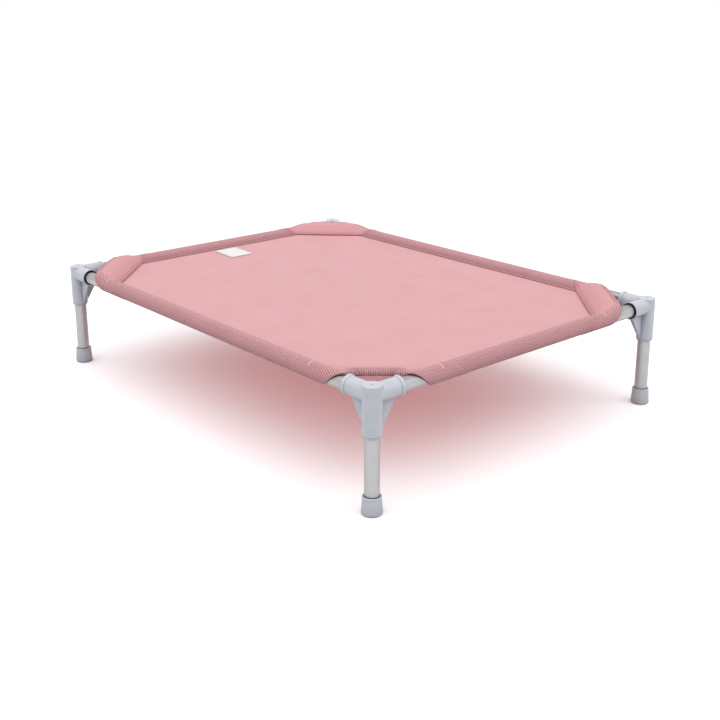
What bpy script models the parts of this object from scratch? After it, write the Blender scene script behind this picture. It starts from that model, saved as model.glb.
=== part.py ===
# Raised dog bed: a stretched fabric sling on four tube rails, with corner connectors, short legs and foot caps.
# Lengths are in metres. +X runs along the long side, +Y from front to rear, +Z up, and the soles stand on z = 0.

import math

import bmesh
import bpy
from mathutils import Matrix, Vector

MM = 0.001
MERGE = 0.002 * MM

# Frame layout
LEG_SPACING_X = 880 * MM
LEG_SPACING_Y = 660 * MM
BED_HEIGHT = 200 * MM
ROUND_SEGMENTS = 28

# Tubes
TUBE_RADIUS = 11.5 * MM
TUBE_WALL = 1.2 * MM

# Corner connector
BOSS_RADIUS = 15 * MM
BOSS_LENGTH = 79 * MM
BOSS_TOP_ROUND = 1 * MM
BOSS_CHAMFER_LENGTH = 3 * MM
BOSS_CHAMFER_DEPTH = 1.4 * MM
ARM_RADIUS = 14.5 * MM
ARM_REACH = 52 * MM
ARM_CREST_DROP = 0.2 * MM
COLLAR_RADIUS = 16.2 * MM
COLLAR_LENGTH = 6.5 * MM
COLLAR_STEP = 0.5 * MM
COLLAR_ROUND = 0.9 * MM
COLLAR_WALL = 1.8 * MM
RECESS_DEPTH = 4.5 * MM
SOCKET_CLEARANCE = 0.3 * MM
SOCKET_END_GAP = 0.3 * MM
RAIL_SOCKET_START = 17 * MM
LEG_SOCKET_DEPTH = 47 * MM
LEAD_IN_LENGTH = 3.5 * MM
LEAD_IN_DEPTH = 1 * MM
GUSSET_THICKNESS = 4 * MM
GUSSET_REACH = 44 * MM
GUSSET_TIP_ABOVE_MOUTH = 4.5 * MM
GUSSET_ROOT = 1 * MM
GATE_MARK_RADIUS = 2.2 * MM
GATE_MARK_DEPTH = 0.6 * MM

# Foot cap
CAP_HEIGHT = 29 * MM
CAP_SOLE_THICKNESS = 6 * MM
CAP_TOP_RADIUS = 14.3 * MM
CAP_BOTTOM_RADIUS = 16.3 * MM
CAP_SOLE_ROUND = 3.5 * MM
CAP_RIM_HEIGHT = 3.2 * MM
CAP_RIM_BEAD = 0.5 * MM
CAP_RIM_CHAMFER = 0.8 * MM

# Sling
CLOTH = 1.2 * MM
CLOTH_CLEARANCE = 0.3 * MM
SLEEVE_EASE = 0.7 * MM
SEAM_FROM_RAIL = 17 * MM
LIP_LENGTH = 7 * MM
PANEL_TUCK = 6 * MM
PANEL_SAG = 6 * MM
PANEL_RINGS = 8
PANEL_EDGE_STEP = 60 * MM
SLEEVE_PAST_ARM = 21 * MM
SLEEVE_INNER_PAST_ARM = 10 * MM
HEM_DEPTH = 77 * MM
SLEEVE_STEPS = 24
HEM_PUFF = 3 * MM
HEM_OVERLAP = 2 * MM
HEM_NOSE_RADIUS = 4.5 * MM
HEM_NOSE_STEPS = 6
HEM_SLOPE_STEPS = 7
HEM_LENGTH_STEPS = 12

# Label
LABEL_LENGTH = 64 * MM
LABEL_WIDTH = 52 * MM
LABEL_THICKNESS = 0.7 * MM
LABEL_FROM_SEAM = 16 * MM
LABEL_STEPS = 4

# What follows from the sizes above
BOSS_MOUTH_Z = BED_HEIGHT - BOSS_LENGTH
ARM_AXIS_DROP = ARM_CREST_DROP + ARM_RADIUS
RAIL_AXIS_Z = BED_HEIGHT - ARM_AXIS_DROP
SOCKET_RADIUS = TUBE_RADIUS + SOCKET_CLEARANCE
SLEEVE_RADIUS = TUBE_RADIUS + SLEEVE_EASE + CLOTH / 2
CORNER_CUT = ARM_REACH + SLEEVE_PAST_ARM
CORNER_SEAM = CORNER_CUT + HEM_DEPTH
SLEEVE_INNER_END = ARM_REACH + SLEEVE_INNER_PAST_ARM
LIP_RISE = CLOTH + CLOTH_CLEARANCE
LIP_END = SEAM_FROM_RAIL + LIP_LENGTH
PANEL_EDGE = LIP_END - PANEL_TUCK

# Each corner's signs along X and Y, with the turn that brings its rails onto +X and +Y
CORNERS = {
    "front_left": (-1, -1, 0),
    "front_right": (1, -1, 90),
    "rear_right": (1, 1, 180),
    "rear_left": (-1, 1, 270),
}

# The corner that each side starts from, and its length between leg axes
SIDES = {
    "front": ("front_left", LEG_SPACING_X),
    "right": ("front_right", LEG_SPACING_Y),
    "rear": ("rear_right", LEG_SPACING_X),
    "left": ("rear_left", LEG_SPACING_Y),
}


def plain_material(name, colour, roughness, metallic=0.0):
    material = bpy.data.materials.new(name)
    material.use_nodes = True
    shader = material.node_tree.nodes["Principled BSDF"]
    shader.inputs["Base Color"].default_value = (*colour, 1.0)
    shader.inputs["Roughness"].default_value = roughness
    shader.inputs["Metallic"].default_value = metallic
    return material


def finished(name, shape):
    """The mesh of a bmesh whose faces are turned outwards and shaded smooth but for its sharp edges."""
    bmesh.ops.recalc_face_normals(shape, faces=shape.faces)
    mesh = bpy.data.meshes.new(name)
    shape.to_mesh(mesh)
    shape.free()
    mesh.shade_smooth()
    mesh.set_sharp_from_angle(angle=math.radians(30))
    return mesh


def turned(name, profile):
    """A (radius, height) profile spun about Z. Two ends on the axis close the body, and otherwise the profile is a loop."""
    shape = bmesh.new()
    corners = [shape.verts.new((radius, 0, height)) for radius, height in profile]
    for low, high in zip(corners, corners[1:]):
        shape.edges.new((low, high))
    if profile[0][0]:
        shape.edges.new((corners[-1], corners[0]))
    profile_edges = shape.verts[:] + shape.edges[:]
    bmesh.ops.spin(shape, geom=profile_edges, axis=(0, 0, 1), angle=2 * math.pi, steps=ROUND_SEGMENTS)
    bmesh.ops.remove_doubles(shape, verts=shape.verts, dist=MERGE)
    return finished(name, shape)


def extruded(name, outline, way):
    """A closed outline of points, extruded along a vector."""
    shape = bmesh.new()
    face = shape.faces.new([shape.verts.new(point) for point in outline])
    grown = bmesh.ops.extrude_face_region(shape, geom=[face])["geom"]
    moved = [item for item in grown if isinstance(item, bmesh.types.BMVert)]
    bmesh.ops.translate(shape, verts=moved, vec=way)
    return finished(name, shape)


def lofted(name, rows, closed_rows=False, capped=False):
    """A skin over rows of equally many points, whose rows can be loops with a cap on the first and the last."""
    shape = bmesh.new()
    grid = [[shape.verts.new(point) for point in row] for row in rows]
    if closed_rows:
        grid = [row + row[:1] for row in grid]
    for low, high in zip(grid, grid[1:]):
        for index in range(len(low) - 1):
            shape.faces.new((low[index], low[index + 1], high[index + 1], high[index]))
    if capped:
        shape.faces.new(grid[0][:-1])
        shape.faces.new(grid[-1][:-1])
    return finished(name, shape)


def add_object(name, mesh, material=None, parent=None, placed=None):
    piece = bpy.data.objects.new(name, mesh)
    piece.parent = parent
    if placed:
        piece.matrix_local = placed
    if material and not mesh.materials:
        mesh.materials.append(material)
    bpy.context.scene.collection.objects.link(piece)
    return piece


def thickened(piece):
    """Gives a cloth mid-surface its thickness."""
    modifier = piece.modifiers.new("Cloth", "SOLIDIFY")
    modifier.thickness = CLOTH
    modifier.offset = 0
    modifier.use_even_offset = True
    return piece


def combined(name, body, joined=(), cut=()):
    """The mesh of a body with other bodies joined to it and cutters taken from it. The bodies themselves go."""
    tools = [(tool, "UNION") for tool in joined] + [(tool, "DIFFERENCE") for tool in cut]
    for operand in [body] + [tool for tool, _ in tools]:
        operand.modifiers.new("Triangles", "TRIANGULATE")
    for tool, operation in tools:
        modifier = body.modifiers.new(operation.title(), "BOOLEAN")
        modifier.operation = operation
        modifier.solver = "EXACT"
        modifier.object = tool
    bpy.context.view_layer.update()
    graph = bpy.context.evaluated_depsgraph_get()
    shape = bmesh.new()
    shape.from_object(body, graph)
    bmesh.ops.remove_doubles(shape, verts=shape.verts, dist=MERGE)
    bmesh.ops.holes_fill(shape, edges=shape.edges, sides=4)
    for used in [body] + [tool for tool, _ in tools]:
        bpy.data.objects.remove(used)
    return finished(name, shape)


# In a corner's own coordinates the leg stands on the origin, and the rails leave along +X and +Y. A connector is
# made with the middle of its top on its origin, so that its shape is the same at any height, and is then lifted.

QUARTER_TURN = Matrix.Rotation(math.radians(90), 4, "Z")
ALONG_X = Matrix.Rotation(math.radians(90), 4, "Y")
ALONG_ARM = Matrix.Translation((0, 0, -ARM_AXIS_DROP)) @ ALONG_X
ALONG_RAIL = Matrix.Translation((0, 0, RAIL_AXIS_Z)) @ ALONG_X
ON_LEG = Matrix.Translation((0, 0, BED_HEIGHT))
PAST_MOUTH = 2 * MM


def boss_mesh():
    profile = [
        (0, -BOSS_LENGTH),
        (BOSS_RADIUS - BOSS_CHAMFER_DEPTH, -BOSS_LENGTH),
        (BOSS_RADIUS, BOSS_CHAMFER_LENGTH - BOSS_LENGTH),
        (BOSS_RADIUS, -BOSS_TOP_ROUND),
        (BOSS_RADIUS - BOSS_TOP_ROUND, 0),
        (0, 0),
    ]
    return turned("boss", profile)


def arm_mesh():
    """An arm with a raised collar round its mouth, which flares slightly towards the rail."""
    collar_start = ARM_REACH - COLLAR_LENGTH
    profile = [
        (0, 0),
        (ARM_RADIUS, 0),
        (ARM_RADIUS, collar_start),
        (ARM_RADIUS + COLLAR_STEP, collar_start + COLLAR_STEP),
        (COLLAR_RADIUS, ARM_REACH - COLLAR_ROUND),
        (COLLAR_RADIUS - COLLAR_ROUND, ARM_REACH),
        (0, ARM_REACH),
    ]
    return turned("arm", profile)


def socket_mesh(bottom, mouth, wide, recess):
    """A cutter for a tube socket, from its blind end to just past the mouth, with a lead-in up to a wider recess."""
    outwards = 1 if mouth > bottom else -1
    profile = [
        (0, bottom),
        (SOCKET_RADIUS, bottom),
        (SOCKET_RADIUS, mouth - outwards * (recess + LEAD_IN_LENGTH)),
        (wide, mouth - outwards * recess),
        (wide, mouth + outwards * PAST_MOUTH),
        (0, mouth + outwards * PAST_MOUTH),
    ]
    return turned("socket", profile)


def gusset_mesh():
    """A triangular web under an arm, with its root sunk into the arm and the boss."""
    tip_z = GUSSET_TIP_ABOVE_MOUTH - BOSS_LENGTH
    underside_z = -ARM_AXIS_DROP - ARM_RADIUS
    slope = (underside_z - tip_z) / (GUSSET_REACH - BOSS_RADIUS)
    root_x = BOSS_RADIUS - GUSSET_ROOT
    root_z = underside_z + GUSSET_ROOT
    side = -GUSSET_THICKNESS / 2
    outline = [
        (root_x, side, tip_z - GUSSET_ROOT * slope),
        (GUSSET_REACH + GUSSET_ROOT / slope, side, root_z),
        (root_x, side, root_z),
    ]
    return extruded("gusset", outline, (0, GUSSET_THICKNESS, 0))


def gate_mark_mesh():
    """A cutter for the shallow cone at the middle of the boss's top."""
    profile = [
        (0, -GATE_MARK_DEPTH),
        (2 * GATE_MARK_RADIUS, GATE_MARK_DEPTH),
        (0, GATE_MARK_DEPTH),
    ]
    return turned("gate_mark", profile)


def connector_mesh():
    joined = []
    cut = []
    for turn in (Matrix.Identity(4), QUARTER_TURN):
        joined.append(add_object("arm", arm_mesh(), placed=turn @ ALONG_ARM))
        joined.append(add_object("gusset", gusset_mesh(), placed=turn))
        socket = socket_mesh(RAIL_SOCKET_START, ARM_REACH, COLLAR_RADIUS - COLLAR_WALL, RECESS_DEPTH)
        cut.append(add_object("rail_socket", socket, placed=turn @ ALONG_ARM))
    leg_socket = socket_mesh(LEG_SOCKET_DEPTH - BOSS_LENGTH, -BOSS_LENGTH, SOCKET_RADIUS + LEAD_IN_DEPTH, 0)
    cut.append(add_object("leg_socket", leg_socket))
    cut.append(add_object("gate_mark", gate_mark_mesh()))
    return combined("corner_connector", add_object("boss", boss_mesh()), joined, cut)


# Tubes and foot caps


def tube_mesh(name, start, end):
    inside = TUBE_RADIUS - TUBE_WALL
    return turned(name, [(inside, start), (TUBE_RADIUS, start), (TUBE_RADIUS, end), (inside, end)])


def foot_cap_mesh():
    """A tapered cup with a rounded sole and a beaded rim, which takes the leg's end."""
    lean = (CAP_BOTTOM_RADIUS - CAP_TOP_RADIUS) / (CAP_HEIGHT - CAP_SOLE_ROUND)
    rim_radius = CAP_TOP_RADIUS + CAP_RIM_HEIGHT * lean
    bead_radius = CAP_TOP_RADIUS + CAP_RIM_BEAD
    profile = [(0, 0)]
    for degrees in (0, 30, 60, 90):
        angle = math.radians(degrees)
        inset = CAP_SOLE_ROUND * (1 - math.sin(angle))
        profile.append((CAP_BOTTOM_RADIUS - inset, CAP_SOLE_ROUND * (1 - math.cos(angle))))
    profile += [
        (rim_radius, CAP_HEIGHT - CAP_RIM_HEIGHT),
        (rim_radius + CAP_RIM_BEAD, CAP_HEIGHT - CAP_RIM_HEIGHT + CAP_RIM_BEAD),
        (bead_radius, CAP_HEIGHT - CAP_RIM_CHAMFER),
        (bead_radius - CAP_RIM_CHAMFER, CAP_HEIGHT),
        (SOCKET_RADIUS + CAP_RIM_CHAMFER, CAP_HEIGHT),
        (SOCKET_RADIUS, CAP_HEIGHT - CAP_RIM_CHAMFER),
        (SOCKET_RADIUS, CAP_SOLE_THICKNESS),
        (0, CAP_SOLE_THICKNESS),
    ]
    return turned("foot_cap", profile)


# Sling. Each sleeve is a strip folded round its rail, whose two lips hold the panel's edge between them.


def strip_section(grown=0.0):
    """The strip from upper lip over the rail to lower lip, as (inward, up, way past the crest), grown outwards."""
    radius = SLEEVE_RADIUS + grown
    rise = LIP_RISE + grown
    seam = SEAM_FROM_RAIL + grown
    to_seam = math.hypot(seam, rise)
    straight = math.sqrt(to_seam**2 - radius**2)
    lean = math.pi / 2 - math.acos(radius / to_seam) - math.atan2(rise, seam)
    section = [(LIP_END + grown, rise, -(radius * lean + straight + LIP_LENGTH))]
    section.append((seam, rise, -(radius * lean + straight)))
    for step in range(SLEEVE_STEPS + 1):
        angle = (math.pi + 2 * lean) * step / SLEEVE_STEPS - lean
        section.append((-radius * math.sin(angle), radius * math.cos(angle), radius * angle))
    round_end = radius * (math.pi + lean)
    section.append((seam, -rise, round_end + straight))
    section.append((LIP_END + grown, -rise, round_end + straight + LIP_LENGTH))
    return section


def strip_end(inward, past_crest):
    """The strip's end from the leg's axis: on flat cloth its cut runs at 45 degrees."""
    if past_crest > 0:
        return CORNER_CUT + past_crest
    return max(CORNER_CUT - inward, SLEEVE_INNER_END)


def sleeve_mesh(length):
    near = []
    far = []
    for inward, up, past_crest in strip_section():
        end = strip_end(inward, past_crest)
        near.append((end, inward, RAIL_AXIS_Z + up))
        far.append((length - end, inward, RAIL_AXIS_Z + up))
    return lofted("sleeve", [near, far])


def sleeve_keep_out():
    """A filled sleeve with clearance round it, for trimming a hem that lies on it."""
    grown = CLOTH / 2 + CLOTH_CLEARANCE
    outline = [(0, inward, RAIL_AXIS_Z + up) for inward, up, _ in strip_section(grown)]
    return extruded("sleeve_keep_out", outline, (CORNER_SEAM + LIP_END, 0, 0))


def hem_profile():
    """The corner hem's section as (way from the leg, height): up from the seam, round the nose, and back below."""
    nose = CORNER_CUT / math.sqrt(2) + HEM_NOSE_RADIUS
    seam = CORNER_SEAM / math.sqrt(2)
    crest = SLEEVE_RADIUS + CLOTH / 2 + HEM_PUFF
    half_seam = CLOTH
    profile = []
    for step in range(HEM_SLOPE_STEPS):
        share = step / HEM_SLOPE_STEPS
        rise = half_seam + (crest - half_seam) * math.sin(share * math.pi / 2)
        profile.append((seam + (nose - seam) * share, rise))
    for step in range(HEM_NOSE_STEPS + 1):
        angle = math.pi * step / HEM_NOSE_STEPS
        height = crest - HEM_NOSE_RADIUS * (1 - math.cos(angle))
        profile.append((nose - HEM_NOSE_RADIUS * math.sin(angle), height))
    profile.append((seam, -CLOTH / 2))
    return profile


def hem_mesh():
    """A puffed hem across the corner, drawn wider from the leg until it lies on both sleeves."""
    rows = []
    for step in range(HEM_LENGTH_STEPS + 1):
        share = 2 * step / HEM_LENGTH_STEPS - 1
        row = []
        for across, height in hem_profile():
            sideways = share * (across + HEM_OVERLAP * math.sqrt(2))
            x = (across + sideways) / math.sqrt(2)
            y = (across - sideways) / math.sqrt(2)
            row.append((x, y, RAIL_AXIS_Z + height))
        rows.append(row)
    body = add_object("hem", lofted("hem", rows, closed_rows=True, capped=True))
    along_x = add_object("keep_out", sleeve_keep_out())
    along_y = add_object("keep_out", sleeve_keep_out(), placed=QUARTER_TURN @ Matrix.Scale(-1, 4, (0, 1, 0)))
    return combined("corner_hem", body, cut=[along_x, along_y])


def panel_outline():
    """The eight-sided panel's edge in short steps, counter-clockwise."""
    cut = CORNER_SEAM + CLOTH_CLEARANCE * math.sqrt(2) - PANEL_EDGE
    corners = []
    for sign_x, sign_y, _ in CORNERS.values():
        on_long_side = Vector((sign_x * (LEG_SPACING_X / 2 - cut), sign_y * (LEG_SPACING_Y / 2 - PANEL_EDGE)))
        on_short_side = Vector((sign_x * (LEG_SPACING_X / 2 - PANEL_EDGE), sign_y * (LEG_SPACING_Y / 2 - cut)))
        pair = [on_short_side, on_long_side]
        corners += pair if sign_x == sign_y else pair[::-1]
    edge = []
    for here, after in zip(corners, corners[1:] + corners[:1]):
        steps = max(1, round((after - here).length / PANEL_EDGE_STEP))
        edge += [here.lerp(after, step / steps) for step in range(steps)]
    return edge


def panel_height(x, y):
    """The cloth's middle height, which sags from its lips towards its centre."""
    share_x = min(abs(x) / (LEG_SPACING_X / 2 - LIP_END), 1)
    share_y = min(abs(y) / (LEG_SPACING_Y / 2 - LIP_END), 1)
    return RAIL_AXIS_Z - PANEL_SAG * (1 - share_x**2) * (1 - share_y**2)


def panel_mesh():
    """Rings of the panel's outline, drawn in to its centre."""
    shape = bmesh.new()
    rings = []
    for ring in range(PANEL_RINGS):
        share = math.cos(math.pi / 2 * ring / PANEL_RINGS)
        places = [place * share for place in panel_outline()]
        corners = [shape.verts.new((x, y, panel_height(x, y))) for x, y in places]
        rings.append([shape.edges.new(pair) for pair in zip(corners, corners[1:] + corners[:1])])
    for outer, inner in zip(rings, rings[1:]):
        bmesh.ops.bridge_loops(shape, edges=outer + inner)
    bmesh.ops.holes_fill(shape, edges=rings[-1], sides=0)
    return finished("sling_panel", shape)


def label_mesh():
    """A blank label that follows the panel beside the left sleeve's seam."""
    start = -LEG_SPACING_X / 2 + SEAM_FROM_RAIL + LABEL_FROM_SEAM
    gap = CLOTH / 2 + CLOTH_CLEARANCE
    rows = []
    for step in range(LABEL_STEPS + 1):
        x = start + LABEL_LENGTH * step / LABEL_STEPS
        low = panel_height(x, 0) + gap
        high = low + LABEL_THICKNESS
        side = LABEL_WIDTH / 2
        rows.append([(x, -side, low), (x, side, low), (x, side, high), (x, -side, high)])
    return lofted("blank_label", rows, closed_rows=True, capped=True)


def add_empty(name, sign_x, sign_y, turn):
    empty = bpy.data.objects.new(name, None)
    empty.location = (sign_x * LEG_SPACING_X / 2, sign_y * LEG_SPACING_Y / 2, 0)
    empty.rotation_euler = (0, 0, math.radians(turn))
    bpy.context.scene.collection.objects.link(empty)
    return empty


def build():
    for left_over in list(bpy.data.objects):
        bpy.data.objects.remove(left_over)
    plastic = plain_material("pale_grey_plastic", (0.578, 0.597, 0.658), 0.45)
    aluminium = plain_material("satin_aluminium", (0.66, 0.66, 0.65), 0.35, 1.0)
    rubber = plain_material("grey_rubber", (0.47, 0.485, 0.54), 0.6)
    pink = plain_material("pink_mesh_cloth", (0.775, 0.45, 0.48), 0.75)
    white = plain_material("white_label_cloth", (0.9, 0.9, 0.88), 0.6)

    connector = connector_mesh()
    hem = hem_mesh()
    leg = tube_mesh("leg", CAP_SOLE_THICKNESS + SOCKET_END_GAP, BOSS_MOUTH_Z + LEG_SOCKET_DEPTH - SOCKET_END_GAP)
    cap = foot_cap_mesh()
    empties = {}
    for corner, signs_and_turn in CORNERS.items():
        empty = add_empty(corner, *signs_and_turn)
        empties[corner] = empty
        add_object(f"corner_connector_{corner}", connector, plastic, empty, ON_LEG)
        add_object(f"leg_{corner}", leg, aluminium, empty)
        add_object(f"foot_cap_{corner}", cap, rubber, empty)
        add_object(f"corner_hem_{corner}", hem, pink, empty)

    rail_end = RAIL_SOCKET_START + SOCKET_END_GAP
    for side, (corner, length) in SIDES.items():
        rail = tube_mesh("rail", rail_end, length - rail_end)
        add_object(f"rail_{side}", rail, aluminium, empties[corner], ALONG_RAIL)
        thickened(add_object(f"sleeve_{side}", sleeve_mesh(length), pink, empties[corner]))

    thickened(add_object("sling_panel", panel_mesh(), pink))
    add_object("blank_label", label_mesh(), white)


build()
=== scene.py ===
# %% [markdown]
# # A raised dog bed
# A pink mesh sling is sewn round four tubes. Grey moulded connectors join the tubes at the corners, and
# each one stands on a short leg with a rubber cap. The CAD model gives the frame, and this lesson dresses
# it. The plastic, metal and rubber keep their CAD shapes and get materials. The cloth is made anew,
# because cloth is what CAD shows least well.

# %% Load the frame
import math
from typing import NamedTuple

import bpy
import numpy as np
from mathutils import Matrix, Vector


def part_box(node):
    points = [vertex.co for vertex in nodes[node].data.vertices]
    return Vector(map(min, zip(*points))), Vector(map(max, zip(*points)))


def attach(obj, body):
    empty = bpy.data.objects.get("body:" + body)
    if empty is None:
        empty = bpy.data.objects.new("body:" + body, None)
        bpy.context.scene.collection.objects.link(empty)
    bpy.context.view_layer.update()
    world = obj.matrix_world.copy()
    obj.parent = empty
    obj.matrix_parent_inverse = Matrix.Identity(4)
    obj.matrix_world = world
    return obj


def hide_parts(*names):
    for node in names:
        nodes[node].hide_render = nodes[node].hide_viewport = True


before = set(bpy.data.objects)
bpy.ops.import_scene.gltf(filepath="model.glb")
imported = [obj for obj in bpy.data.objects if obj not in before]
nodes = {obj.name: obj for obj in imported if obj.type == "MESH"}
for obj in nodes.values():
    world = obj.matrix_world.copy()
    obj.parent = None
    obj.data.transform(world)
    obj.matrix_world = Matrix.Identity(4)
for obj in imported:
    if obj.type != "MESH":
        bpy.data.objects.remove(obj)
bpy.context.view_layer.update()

MM = 0.001
print("CAD nodes:", len(nodes))

# %% [markdown]
# ## Where things are
# Every new piece is placed from the CAD boxes, so that it fits the frame without any trial and error. A
# rail's box gives its axis and its radius, and the rail on the left and the one at the front give the
# bed's half sizes.

# %% Measure the frame
front_low, front_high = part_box("rail_front")
left_low, left_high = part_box("rail_left")
HALF_LONG = -(left_low.x + left_high.x) / 2
HALF_SHORT = -(front_low.y + front_high.y) / 2
RAIL_Z = (front_low.z + front_high.z) / 2
RAIL_RADIUS = (front_high.z - front_low.z) / 2
print("leg axes (mm):", round(2 * HALF_LONG / MM), "x", round(2 * HALF_SHORT / MM))
print("rail height (mm):", round(RAIL_Z / MM, 1))

# %% [markdown]
# ## The camera
# The photograph looks down at the bed from beyond its near corner. The view's place, turn and lens come
# from the corners of the frame in the picture. A small shift of the lens keeps the legs nearly upright.

# %% Camera
LOOKS_DOWN, TURNED = 15.798, 48.8175  # degrees
camera_data = bpy.data.cameras.new("photo_camera")
camera_data.lens = 54.302
camera_data.sensor_width = 36
camera_data.shift_y = -0.1
camera_data.clip_start, camera_data.clip_end = 0.05, 60
camera = bpy.data.objects.new("photo_camera", camera_data)
camera.location = (1.50562, -1.28524, 0.74561)
camera.rotation_euler = (math.radians(90 - LOOKS_DOWN), 0, math.radians(TURNED))
bpy.context.scene.collection.objects.link(camera)
bpy.context.scene.camera = camera
bpy.context.scene.view_settings.view_transform = "Standard"
print("camera looks down by", LOOKS_DOWN, "degrees")

# %% [markdown]
# ## Floor and light
# The bed stands on pale paper in a white studio. One broad soft light comes from high in front, a weaker
# one from the right, and the white room fills the shadows. Big lamps would be dimmer at the far corner, so
# both lights are suns, which are as bright everywhere. The camera and the reflections see the paper and
# the room whiter than all other rays do, which keeps the background white and the shading on the bed.

# %% Helpers for selecting


def clear_selection():
    """Nothing selected and nothing in edit mode, so that the next operator acts on one piece only."""
    if bpy.context.object and bpy.context.object.mode != "OBJECT":
        bpy.ops.object.mode_set(mode="OBJECT")
    bpy.ops.object.select_all(action="DESELECT")


def make_active(piece):
    clear_selection()
    piece.select_set(True)
    bpy.context.view_layer.objects.active = piece


# %% Helpers for node trees


def add_node(tree, kind, **values):
    """A new node. Each value goes to the setting of that name, or else to the input of that name."""
    node = tree.nodes.new(kind)
    for name, value in values.items():
        if hasattr(node, name):
            setattr(node, name, value)
        else:
            node.inputs[name.replace("_", " ")].default_value = value
    return node


def fill(tree, sockets, values):
    """Each value goes into its socket, as a link where it comes from a node and else as it is."""
    for socket, value in zip(sockets, values):
        if isinstance(value, bpy.types.NodeSocket):
            tree.links.new(value, socket)
        else:
            socket.default_value = value


def calculated(tree, operation, first, second=0):
    """What a sum on two values gives."""
    node = add_node(tree, "ShaderNodeMath", operation=operation)
    fill(tree, node.inputs, (first, second))
    return node.outputs[0]


def highest(tree, first, *others):
    """The highest of some values. Of masks, it shows where any of them does."""
    for other in others:
        first = calculated(tree, "MAXIMUM", first, other)
    return first


def blended(tree, factor, first, second, how="MIX"):
    """A mix of two colours."""
    mix = add_node(tree, "ShaderNodeMix", data_type="RGBA", blend_type=how)
    fill(tree, (mix.inputs[0], mix.inputs[6], mix.inputs[7]), (factor, first, second))
    return mix.outputs[2]


def ray_mask(tree, *kinds):
    """1 for the given kinds of ray, and 0 for all others."""
    path = add_node(tree, "ShaderNodeLightPath")
    return highest(tree, *(path.outputs[f"Is {kind} Ray"] for kind in kinds))


# %% Floor
FLOOR_SIZE = 30
SEEN_WHITE = (1.3, 1.3, 1.3 * 1.01, 1)
THROWN_GREY = (0.42, 0.42, 0.42, 1)
clear_selection()
bpy.ops.mesh.primitive_plane_add(size=FLOOR_SIZE, location=(0, 0, 0))
floor = bpy.context.object
floor.name = "studio_floor"
paper = bpy.data.materials.new("floor_paper")
paper.use_nodes = True
tree = paper.node_tree
tree.nodes.clear()
matt = add_node(tree, "ShaderNodeBsdfDiffuse")
page = add_node(tree, "ShaderNodeOutputMaterial")
shade = blended(tree, ray_mask(tree, "Camera", "Glossy"), THROWN_GREY, SEEN_WHITE)
tree.links.new(shade, matt.inputs["Color"])
tree.links.new(matt.outputs[0], page.inputs["Surface"])
floor.data.materials.append(paper)
print("floor:", FLOOR_SIZE, "m wide")

# %% Lights


def soft_sun(name, strength, spread, from_way):
    """Parallel soft light, whose spread is how broad it is in the sky."""
    light = bpy.data.lights.new(name, "SUN")
    light.energy = strength
    light.angle = math.radians(spread)
    lamp = bpy.data.objects.new(name, light)
    lamp.rotation_euler = Vector(from_way).to_track_quat("Z", "Y").to_euler()
    bpy.context.scene.collection.objects.link(lamp)
    print(name, "is", spread, "degrees broad")


soft_sun("top_light", 1.2, 100, (-0.02, -0.45, 1))
soft_sun("right_light", 0.52, 55, (0.8, 0.4, 0.6))

# %% White room
ROOM_LIGHT = 0.66
world = bpy.data.worlds.new("white_room")
bpy.context.scene.world = world
world.use_nodes = True
tree = world.node_tree
tree.nodes.clear()
out = add_node(tree, "ShaderNodeOutputWorld")
room = add_node(tree, "ShaderNodeBackground", Color=(1, 1, 1, 1), Strength=ROOM_LIGHT)
seen = add_node(tree, "ShaderNodeBackground", Color=(1, 1, 1, 1), Strength=1.0)
choose = add_node(tree, "ShaderNodeMixShader")
sight = ray_mask(tree, "Camera", "Glossy", "Transmission")
fill(tree, choose.inputs, (sight, room.outputs[0], seen.outputs[0]))
tree.links.new(choose.outputs[0], out.inputs["Surface"])
print("the room lights the bed with a strength of", ROOM_LIGHT)

# %% [markdown]
# ## Mesh cloth
# The sling is a coated mesh: twisted threads cross at an angle and leave small holes, so some light gets
# through and tints the floor pink. A picture of cloth would blur up close, and modelled threads would be
# far too many. So ribs and threads are wave patterns on the cloth's own flat map, in metres, and follow the
# cloth round a tube. They drive colour and bump. A share of translucency lets the light through.

# %% Helpers for materials
WHITE = (1.0, 1.0, 1.0)


def new_material(name, roughness, metallic=0.0):
    """A material with its node tree and its shader, whose values that are the same all over are set."""
    material = bpy.data.materials.new(name)
    material.use_nodes = True
    shader = material.node_tree.nodes["Principled BSDF"]
    shader.inputs["Roughness"].default_value = roughness
    shader.inputs["Metallic"].default_value = metallic
    return material, material.node_tree, shader


def colour_ramp(tree, factor, stops):
    """A colour ramp with (position, colour) stops, fed by a factor."""
    ramp = tree.nodes.new("ShaderNodeValToRGB")
    bar = ramp.color_ramp
    while len(bar.elements) < len(stops):
        bar.elements.new(0.5)
    for element, (position, colour) in zip(bar.elements, stops):
        element.position = position
        element.color = (*colour, 1)
    tree.links.new(factor, ramp.inputs["Fac"])
    return ramp.outputs["Color"]


def tinted(tree, colour, tint):
    """A colour times a tint."""
    return blended(tree, 1.0, colour, tint, "MULTIPLY")


def noise_at(tree, place, **values):
    """A noise value for each place."""
    noise = add_node(tree, "ShaderNodeTexNoise", **values)
    tree.links.new(place, noise.inputs["Vector"])
    return noise.outputs["Fac"]


def parts_of(tree, place):
    """The X, Y and Z of each place."""
    parts = add_node(tree, "ShaderNodeSeparateXYZ")
    tree.links.new(place, parts.inputs[0])
    return parts.outputs


def within(tree, value, middle, reach):
    """A mask for where a value is less than a reach away from the middle."""
    away = calculated(tree, "ABSOLUTE", calculated(tree, "SUBTRACT", value, middle))
    return calculated(tree, "LESS_THAN", away, reach)


def sum_of(tree, first, times_first, second, times_second):
    """The sum of two values, each times another."""
    first = calculated(tree, "MULTIPLY", first, times_first)
    return calculated(tree, "ADD", first, calculated(tree, "MULTIPLY", second, times_second))


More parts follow.
